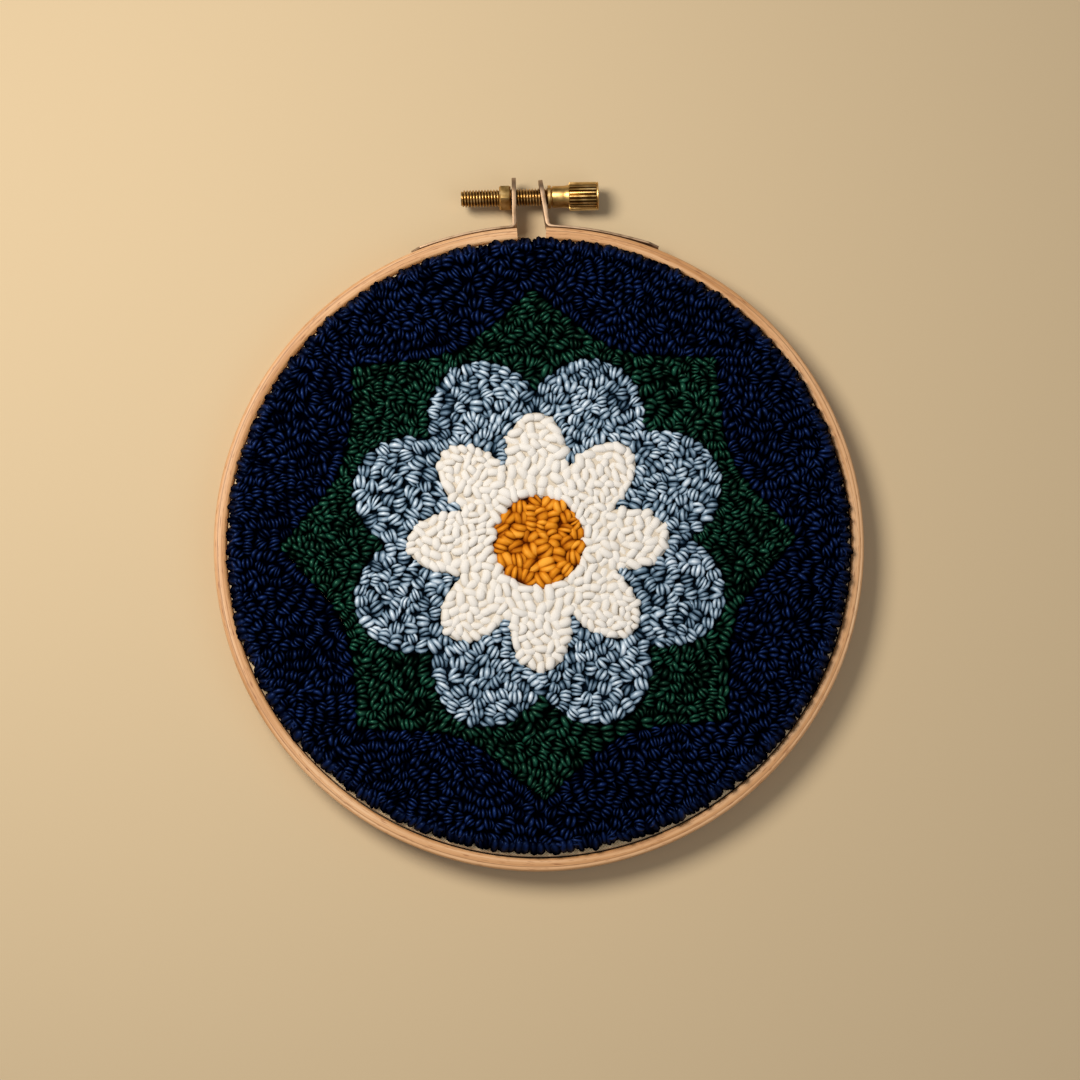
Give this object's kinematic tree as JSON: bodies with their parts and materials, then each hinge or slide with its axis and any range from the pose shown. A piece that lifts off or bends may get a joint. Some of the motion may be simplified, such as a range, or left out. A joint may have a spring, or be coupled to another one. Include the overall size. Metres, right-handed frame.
{
  "type": "embroidery hoop art with its round wooden hoop",
  "caption": "Round wooden embroidery hoop with a screw clamp, holding cloth covered in looped yarn: a layered rosette on a dark ground.",
  "frame": {"origin": "centre of the base of the bounding box, in the plane of the hoop's back; the hoop's own centre is 6.35 mm towards -Y from it", "axes": "+Z out of the embroidered face, +Y from the hoop's centre towards the clamp screw, X along the clamp screw with its knurled grip at +X"},
  "size_m": [0.15, 0.1627, 0.0126],
  "materials": {
    "hoop_wood": "pale bent beech, sanded and waxed, satin",
    "cream_cloth": "plain woven cream cotton, stretched tight",
    "mustard_yarn": "mustard loop pile",
    "white_yarn": "off-white loop pile",
    "slate_yarn": "blue-grey loop pile with a soft sheen",
    "green_yarn": "dark green loop pile with a soft sheen",
    "navy_yarn": "navy loop pile",
    "clamp_steel": "thin bent steel strap, warm grey",
    "clamp_brass": "turned brass, satin, knurled grip"
  },
  "bodies": {
    "root": {"outer_ring": "hoop_wood", "inner_ring": "hoop_wood", "ground_cloth": "cream_cloth", "pile_centre": "mustard_yarn", "pile_petals": "white_yarn", "pile_slate": "slate_yarn", "pile_leaves": "green_yarn", "pile_ground": "navy_yarn", "strap_left": "clamp_steel", "strap_right": "clamp_steel", "clamp_nut": "clamp_brass"},
    "screw": {"clamp_screw": "clamp_brass"}
  },
  "joints": [
    {"name": "screw_turn", "type": "hinge", "parent": "root", "child": "screw", "pos_m": [0, 0.07685, 0.0045], "axis": [1, 0, 0], "continuous": true}
  ]
}
